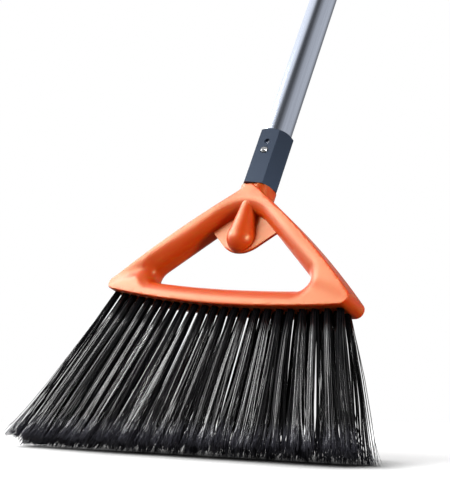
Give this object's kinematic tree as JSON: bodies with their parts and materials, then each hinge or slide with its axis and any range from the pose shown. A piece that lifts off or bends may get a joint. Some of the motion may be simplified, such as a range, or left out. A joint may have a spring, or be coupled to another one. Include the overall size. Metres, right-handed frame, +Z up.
{
  "type": "outdoor broom",
  "caption": "Upright outdoor broom with an open triangular moulded head, fanned stiff bristles, hexagonal ferrule with snap button and a round tube handle.",
  "frame": {"origin": "middle of the line where the back bristle ends meet the floor, on the broom's own middle plane", "axes": "+Z up from the floor, +X across the head to the right as seen from the front, +Y to the back; the handle leans 20 degrees back and 7.5 degrees to the right"},
  "size_m": [0.3704, 0.5232, 1.3597],
  "materials": {
    "orange_plastic": "satin",
    "bristle": "satin",
    "wire": "plain",
    "dark_plastic": "satin",
    "tube": "satin anodised",
    "plated_steel": "polished",
    "spring_steel": "plain",
    "cap_plastic": "satin"
  },
  "bodies": {
    "broom": {"head_frame": "orange_plastic", "bristle_row_front": "bristle", "bristle_row_middle": "bristle", "bristle_row_back": "bristle", "tuft_anchors": "wire", "hex_ferrule": "dark_plastic", "handle_tube": "tube", "spring_clip": "spring_steel", "end_cap": "cap_plastic"},
    "button": {"snap_button": "plated_steel", "spring_leaf": "spring_steel"}
  },
  "joints": [
    {"name": "button_press", "type": "hinge", "parent": "broom", "child": "button", "pos_m": [0.0409, 0.08884, 0.28183], "axis": [0.966, 0.1679, -0.1964], "range_deg": [0, 6.3], "stiffness_Nm_per_rad": 3, "springref_deg": -2.86}
  ]
}
